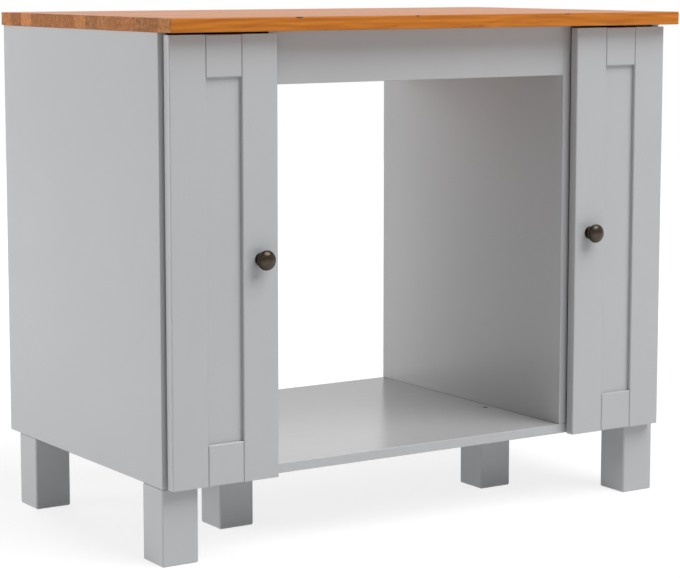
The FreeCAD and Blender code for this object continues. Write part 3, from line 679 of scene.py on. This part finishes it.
def copy_of(piece):
    """A copy with its own mesh."""
    select_only([piece])
    bpy.ops.object.duplicate(linked=False)
    return bpy.context.active_object


def joined(name, pieces):
    """Several pieces as one object."""
    select_only(pieces)
    if len(pieces) > 1:
        bpy.ops.object.join()
    piece = bpy.context.active_object
    piece.name = name
    piece.data.name = name
    return piece


def fit(piece, scene, slot, body, *nodes):
    """Finish a piece, let it ride on its body and stand for the CAD nodes that it replaces."""
    dress(piece, scene, slot)
    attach(piece, body)
    if nodes:
        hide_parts(*nodes)


# Knobs and soft stops

KNOB_SIDES = 64
BUMPER_SIDES = 40

# Shares of a rose's height, of a knob's radius and of a soft stop's radius and height
ROSE_ROUNDING = 0.4
CROWN_POLE = 0.01
BUMPER_FOOT = 0.97
BUMPER_WALL = 0.2
BUMPER_POLE = 0.02


def knob_profile(sizes, radius, height):
    """Rose, hollow neck, flare, rim and domed crown, from the door outwards."""
    rounding = sizes.rose_height * ROSE_ROUNDING
    rose_edge = (sizes.rose_radius, sizes.rose_height - rounding)
    rose_top = (sizes.rose_radius - rounding, sizes.rose_height)
    neck = (sizes.neck_radius, sizes.neck_level)
    flare = (sizes.flare_radius, sizes.flare_level)
    rim = (radius, sizes.rim_level)
    crown = (radius * CROWN_POLE, height)
    return [
        (sizes.rose_radius, 0.0),
        rose_edge,
        *quarter(rose_edge, rose_top, True, 4),
        *quarter(rose_top, neck, False, 6),
        *quarter(neck, flare, True, 9),
        *quarter(flare, rim, False, 7),
        *quarter(rim, crown, True, 14),
    ]


# The crown's upper half takes this share of the light bronze and its lower half all of it, as a painted
# reflection; the change runs over a band of this share of the radius
UPPER_CROWN_SHARE = 0.42
PAINTED_REFLECTION_BAND = 0.4


def mark_wear_and_painted_reflection(piece, radius, rim_level):
    """Note on each vertex how light its bronze is: wear on the crown, and a painted reflection that makes
    the crown's lower half lighter than its upper half.
    """
    shares = []
    for vertex in piece.data.vertices:
        reach = vertex.co.xy.length / radius
        # Painted reflection: the crown is lighter below the knob's axis and darker above it
        lower = min(max(0.5 - vertex.co.y / radius / PAINTED_REFLECTION_BAND, 0.0), 1.0)
        crown = 1.0 - reach ** 4 if vertex.co.z > rim_level else 0.0
        shares.append(crown * (UPPER_CROWN_SHARE + (1.0 - UPPER_CROWN_SHARE) * lower))
    attribute = piece.data.attributes.new(RUBBED_AND_PAINTED_REFLECTION, "FLOAT", "POINT")
    attribute.data.foreach_set("value", shares)


def facing(place, direction):
    """The matrix that puts a piece built along Z at a place, pointing in a direction."""
    turn = Vector(direction).to_track_quat("Z", "Y")
    return Matrix.Translation(place) @ turn.to_matrix().to_4x4()


def make_knob(scene, hand):
    sizes = scene.cabinet_sizes
    node = f"{hand}_knob"
    low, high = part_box(node)
    radius = (high.x - low.x) / 2
    knob = turned(knob_profile(sizes, radius, high.y - low.y), KNOB_SIDES)
    mark_wear_and_painted_reflection(knob, radius, sizes.rim_level)
    smooth(knob)
    settle(knob, facing(((low.x + high.x) / 2, high.y, (low.z + high.z) / 2), (0, -1, 0)))
    fit(joined(f"{hand}_turned_knob", [knob]), scene, "antique_bronze", f"{hand}_door", node)


def make_bumper(scene, hand):
    """A soft stop: a low dome with a rounded foot."""
    node = f"{hand}_door_bumper"
    low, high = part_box(node)
    radius = (high.x - low.x) / 2
    height = high.y - low.y
    wall = (radius, height * BUMPER_WALL)
    pole = (radius * BUMPER_POLE, height)
    profile = [(radius * BUMPER_FOOT, 0.0), wall, *quarter(wall, pole, True, 10)]
    bumper = turned(profile, BUMPER_SIDES)
    smooth(bumper)
    settle(bumper, facing(((low.x + high.x) / 2, low.y, (low.z + high.z) / 2), (0, 1, 0)))
    fit(joined(f"{hand}_soft_stop", [bumper]), scene, "clear_rubber", f"{hand}_door", node)


# Screws and nails

SCREW_SIDES = 28
NAIL_SIDES = 20
WELD_DISTANCE = 1e-6
LEVEL_PLAY = 2e-5

# Sizes of a screw as shares of its shank's radius or its head's radius and depth
TIP_RADIUS = 0.05
POINT_LENGTH = 2.5
HEAD_POLE = 0.02
SUNK_LIMIT = 0.9
SUNK_EDGE = 0.04
DOME_FOOT = 0.97
DOME_SEAT = 0.55
RECESS_REACH = 0.62
RECESS_WIDTH = 0.24
RECESS_DEPTH = 0.55
RECESS_TAPER = 0.5

# Sizes of a nail as shares of its head's radius and thickness or its shank's radius
NAIL_THICKNESS = 0.35
NAIL_SHANK = 0.38
NAIL_EDGE = 0.4
NAIL_POLE = 0.03
NAIL_TIP = 0.1
NAIL_POINT = 3


def solids_of(node):
    """The points of each solid in a CAD node, read from a merged copy that is thrown away."""
    copy = NODES[node].copy()
    copy.data = copy.data.copy()
    bpy.context.scene.collection.objects.link(copy)
    select_only([copy])
    with editing(copy):
        bpy.ops.mesh.select_all(action="SELECT")
        bpy.ops.mesh.remove_doubles(threshold=WELD_DISTANCE)
    bpy.ops.mesh.separate(type="LOOSE")
    parts = list(bpy.context.selected_objects)
    solids = [[part.matrix_world @ vertex.co for vertex in part.data.vertices] for part in parts]
    for part in parts:
        bpy.data.objects.remove(part)
    return solids


class Screw:
    """Place, direction and sizes of one screw, read from the points of its plain solid."""

    def __init__(self, points):
        low = Vector(map(min, zip(*points)))
        high = Vector(map(max, zip(*points)))
        spans = high - low
        axis = max(range(3), key=lambda index: spans[index])
        middle = (low + high) / 2
        levels = sorted({round(point[axis], 5) for point in points})

        def reach(level):
            """How far the points at one level lie from the axis."""
            offsets = [point - middle for point in points if abs(point[axis] - level) < LEVEL_PLAY]
            for offset in offsets:
                offset[axis] = 0.0
            return max(offset.length for offset in offsets)

        head_up = reach(levels[-1]) > reach(levels[0])
        levels.sort(reverse=head_up)
        head, under = levels[:2]
        tip = levels[-1]
        self.place = middle.copy()
        self.place[axis] = head
        self.direction = Vector([0.0, 0.0, 0.0])
        self.direction[axis] = 1.0 if head_up else -1.0
        self.radius = reach(head)
        self.shank = reach(tip)
        self.depth = abs(head - under)
        self.length = abs(head - tip)
        self.sunk = reach(under) < self.radius * SUNK_LIMIT

    def profile(self):
        """From the pointed tip up the shank to the head, whose top is at level 0."""
        tip = (self.shank * TIP_RADIUS, -self.length)
        point_end = (self.shank, -self.length + self.shank * POINT_LENGTH)
        start = [tip, point_end]
        pole = self.radius * HEAD_POLE
        if self.sunk:
            edge = self.radius * SUNK_EDGE
            return start + [
                (self.shank, -self.depth),
                (self.radius, -edge),
                (self.radius - edge, 0.0),
                (pole, 0.0),
            ]
        edge = (self.radius, -self.depth * DOME_SEAT)
        return start + [
            (self.shank, -self.depth),
            (self.radius * DOME_FOOT, -self.depth),
            edge,
            *quarter(edge, (pole, 0.0), True, 6),
        ]

    def make(self):
        piece = turned(self.profile(), SCREW_SIDES)
        arm = self.radius * RECESS_REACH
        width = self.radius * RECESS_WIDTH
        for turn in (0.0, math.pi / 2):
            cut_slot(piece, arm, width, self.depth * RECESS_DEPTH, turn)
        smooth(piece)
        settle(piece, facing(self.place, self.direction))
        return piece


def cut_slot(piece, arm, width, depth, turn):
    """Cut one tapered arm of a cross recess into the top of a screw head at level 0."""
    cutter = fresh(
        bpy.ops.mesh.primitive_cube_add,
        size=1.0, rotation=(0, 0, turn), scale=(arm * 2, width, depth * 2),
    )
    bpy.ops.object.transform_apply(location=True, rotation=True, scale=True)
    for vertex in cutter.data.vertices:
        vertex.select = vertex.co.z < 0
    with editing(cutter):
        shrink = (RECESS_TAPER, RECESS_TAPER, 1)
        bpy.ops.transform.resize(value=shrink, center_override=(0, 0, -depth))
    select_only([piece])
    modifier = piece.modifiers.new("recess", "BOOLEAN")
    modifier.operation = "DIFFERENCE"
    modifier.solver = "EXACT"
    modifier.object = cutter
    bpy.ops.object.modifier_apply(modifier=modifier.name)
    bpy.data.objects.remove(cutter)


SCREW_NODES = (
    "leg_screws", "partition_screws", "bracket_screws", "hinge_plate_screws",
    "left_cup_screws", "right_cup_screws", "left_knob_screw", "right_knob_screw",
)


def make_screws(scene, node):
    """All the screws of one CAD node, each with a cross recess."""
    screws = [Screw(points).make() for points in solids_of(node)]
    slot = next(row["material_slot"] for row in frame["record"]["subparts"] if row["node"] == node)
    fit(joined(f"{node}_with_recess", screws), scene, slot, NODES[node]["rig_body"], node)


def spread(start, end, pitch):
    """Even places from start to end, no further apart than the pitch."""
    gaps = math.ceil(abs(end - start) / pitch)
    return [start + (end - start) * step / gaps for step in range(gaps + 1)]


def nail_places(hand, sizes):
    """Along the partition and the floor panel that a back panel lies on."""
    low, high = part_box(f"{hand}_back_panel")
    partition_low, partition_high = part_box(f"{hand}_partition")
    floor_low, floor_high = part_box("floor_panel")
    upright = (max(low.x, partition_low.x) + min(high.x, partition_high.x)) / 2
    level = (max(low.z, floor_low.z) + floor_high.z) / 2
    far = low.x if hand == "left" else high.x
    inward = 1 if hand == "left" else -1
    margin = sizes.nail_pitch / 5
    rising = spread(level, high.z - margin, sizes.nail_pitch)
    running = spread(far + inward * margin, upright, sizes.nail_pitch)
    return [(upright, high.y, z) for z in rising] + [(x, high.y, level) for x in running[:-1]]


def make_nails(scene, hand):
    """Small flat-headed nails, driven from behind."""
    sizes = scene.cabinet_sizes
    head = sizes.nail_radius
    thick = head * NAIL_THICKNESS
    shank = head * NAIL_SHANK
    edge = (head, thick * NAIL_EDGE)
    tip = thick - sizes.nail_length
    profile = [
        (shank * NAIL_TIP, tip),
        (shank, tip + shank * NAIL_POINT),
        (shank, 0.0),
        (head, 0.0),
        edge,
        *quarter(edge, (head * NAIL_POLE, thick), True, 5),
    ]
    first = turned(profile, NAIL_SIDES)
    smooth(first)
    places = nail_places(hand, sizes)
    nails = [copy_of(first) for _ in places[1:]] + [first]
    for nail, place in zip(nails, places):
        settle(nail, facing(place, (0, 1, 0)))
    fit(joined(f"{hand}_back_nails", nails), scene, "zinc_steel", "carcass")


# Stage

WHITE = (1.0, 1.0, 1.0)
FLOOR_SIDES = 96

# Name, place, target, width and power setting of each lamp
LAMPS = (
    ("top_light", (2.2, -4.1, 6.1), (0.0, -0.1, 0.5), 6.0, "top_power"),
    ("left_light", (-3.1, 1.45, 0.6), (0.0, 0.1, 0.4), 2.0, "left_power"),
    ("back_light", (-0.3, 2.6, 1.4), (0.2, 0.1, 0.3), 1.2, "back_power"),
)

# Where the floor starts and ends turning plain white, as shares of its radius
PAPER_REACH = 0.07
WHITE_REACH = 0.22

# The floor near the object: its share of plain white, its glow and the colours of its paper
WHITE_SHARE = 0.70
GLOW_SHARE = 0.09
WHITE_LEVEL = 1.12
PAPER_DARK = (0.88, 0.88, 0.88)
PAPER_LIGHT = (0.90, 0.90, 0.90)
PAPER_BOUNCE = (0.92, 0.92, 0.92)


def make_world(scene, level):
    """White to look at, and a softer even light on the object."""
    world = bpy.data.worlds.new("studio")
    world.use_nodes = True
    shading = Shading(world.node_tree)
    soft = shading.tree.nodes["Background"]
    shading.feed(soft.inputs["Color"], WHITE)
    shading.feed(soft.inputs["Strength"], level)
    white = shading.add("ShaderNodeBackground", None, {"Color": WHITE, "Strength": 1.0})
    shading.show(shading.seen(), Field(shading, soft.outputs[0]), white)
    scene.world = world


def floor_paper(radius):
    """White paper that keeps the shadow near the object and turns plain white further out."""
    finish = Finish("white_paper")
    where = finish.place()
    x, y = finish.split(where)[:2]
    reach = (x * x + y * y) ** 0.5
    plain = finish.blend(reach, radius * PAPER_REACH, radius * WHITE_REACH)
    grain = finish.noise(where, 6.0, 2.0)
    seen = finish.seen()
    paper = finish.mix(grain, PAPER_DARK, PAPER_LIGHT)
    finish.set(Base_Color=finish.mix(seen, PAPER_BOUNCE, paper), Roughness=0.9)
    white = finish.add("ShaderNodeEmission", None, {"Color": WHITE, "Strength": WHITE_LEVEL})
    glow = (1.0 - seen) * (1.0 - plain) * GLOW_SHARE
    share = seen * (WHITE_SHARE + (1.0 - WHITE_SHARE) * plain) + glow
    finish.show(share, Field(finish, finish.surface.outputs[0]), white)
    return finish.material


def make_floor(stage):
    floor = fresh(
        bpy.ops.mesh.primitive_circle_add,
        vertices=FLOOR_SIDES, radius=stage.floor_radius, fill_type="NGON", location=(0, 0, CAD_BOX[0].z),
    )
    floor.name = "paper_floor"
    floor.data.materials.append(floor_paper(stage.floor_radius))


def make_lamp(name, place, target, width, watts):
    lamp = fresh(bpy.ops.object.light_add, type="AREA", location=place)
    lamp.name = name
    lamp.data.shape = "DISK"
    lamp.data.size = width
    lamp.data.energy = watts
    lamp.rotation_euler = (Vector(target) - Vector(place)).to_track_quat("-Z", "Y").to_euler()


def make_camera(scene, stage):
    turn = (math.pi / 2 - stage.camera_dip, 0.0, -stage.camera_turn)
    camera = fresh(bpy.ops.object.camera_add, location=stage.camera_place, rotation=turn)
    camera.data.lens = stage.camera_lens
    camera.data.shift_y = stage.camera_shift
    scene.camera = camera


# Operators


class CABINET_OT_paint(Operator):
    """Paint the boards, doors and legs"""

    bl_idname = "cabinet.paint"
    bl_label = "Paint boards"

    def execute(self, context):
        dress_nodes(context.scene, "grey_paint")
        return {"FINISHED"}


class CABINET_OT_worktop(Operator):
    """Oil the stave worktop"""

    bl_idname = "cabinet.worktop"
    bl_label = "Oil worktop"

    def execute(self, context):
        dress_nodes(context.scene, "oiled_wood")
        return {"FINISHED"}


class CABINET_OT_backs(Operator):
    """Finish the back panels and nail them on"""

    bl_idname = "cabinet.backs"
    bl_label = "Nail back panels"

    def execute(self, context):
        dress_nodes(context.scene, "hardboard")
        for hand in HANDS:
            make_nails(context.scene, hand)
        return {"FINISHED"}


class CABINET_OT_knobs(Operator):
    """Turn the two knobs"""

    bl_idname = "cabinet.knobs"
    bl_label = "Turn knobs"

    def execute(self, context):
        dress_nodes(context.scene, "antique_bronze")
        for hand in HANDS:
            make_knob(context.scene, hand)
        return {"FINISHED"}


class CABINET_OT_stops(Operator):
    """Press the soft stops on the doors"""

    bl_idname = "cabinet.stops"
    bl_label = "Fit soft stops"

    def execute(self, context):
        dress_nodes(context.scene, "clear_rubber")
        for hand in HANDS:
            make_bumper(context.scene, hand)
        return {"FINISHED"}


class CABINET_OT_fittings(Operator):
    """Plate the hinges, brackets and shelf pins, and finish the dowels"""

    bl_idname = "cabinet.fittings"
    bl_label = "Plate fittings"

    def execute(self, context):
        for slot in ("nickel_plate", "zinc_steel", "black_steel", "beech"):
            dress_nodes(context.scene, slot)
        return {"FINISHED"}


class CABINET_OT_screws(Operator):
    """Give every screw its head and recess"""

    bl_idname = "cabinet.screws"
    bl_label = "Drive screws"

    def execute(self, context):
        for node in SCREW_NODES:
            make_screws(context.scene, node)
        return {"FINISHED"}


class CABINET_OT_stage(Operator):
    """Set up the floor, the light and the camera"""

    bl_idname = "cabinet.stage"
    bl_label = "Set the stage"

    def execute(self, context):
        scene = context.scene
        stage = scene.cabinet_stage
        make_world(scene, stage.sky_level)
        make_floor(stage)
        for name, place, target, width, setting in LAMPS:
            make_lamp(name, place, target, width, getattr(stage, setting))
        make_camera(scene, stage)
        scene.view_settings.view_transform = "Standard"
        return {"FINISHED"}


class CABINET_PT_panel(Panel):
    """Sizes, colours and steps of the cabinet"""

    bl_label = "Oven Housing Cabinet"
    bl_space_type = "VIEW_3D"
    bl_region_type = "UI"
    bl_category = "Cabinet"

    def draw(self, context):
        scene = context.scene
        for group in (scene.cabinet_sizes, scene.cabinet_colours, scene.cabinet_stage):
            box = self.layout.box()
            for name in group.__annotations__:
                box.prop(group, name)
        for step in STEPS:
            self.layout.operator(step.bl_idname)


STEPS = (
    CABINET_OT_paint,
    CABINET_OT_worktop,
    CABINET_OT_backs,
    CABINET_OT_knobs,
    CABINET_OT_stops,
    CABINET_OT_fittings,
    CABINET_OT_screws,
    CABINET_OT_stage,
)
GROUPS = (CabinetSizes, CabinetColours, StageSettings)
CLASSES = (*GROUPS, *STEPS, CABINET_PT_panel)


def register():
    for cls in CLASSES:
        bpy.utils.register_class(cls)
    bpy.types.Scene.cabinet_sizes = PointerProperty(type=CabinetSizes)
    bpy.types.Scene.cabinet_colours = PointerProperty(type=CabinetColours)
    bpy.types.Scene.cabinet_stage = PointerProperty(type=StageSettings)


def unregister():
    del bpy.types.Scene.cabinet_stage
    del bpy.types.Scene.cabinet_colours
    del bpy.types.Scene.cabinet_sizes
    for cls in reversed(CLASSES):
        bpy.utils.unregister_class(cls)


def main():
    register()
    bpy.ops.cabinet.paint()
    bpy.ops.cabinet.worktop()
    bpy.ops.cabinet.backs()
    bpy.ops.cabinet.knobs()
    bpy.ops.cabinet.stops()
    bpy.ops.cabinet.fittings()
    bpy.ops.cabinet.screws()
    bpy.ops.cabinet.stage()


if __name__ == "__main__":
    main()
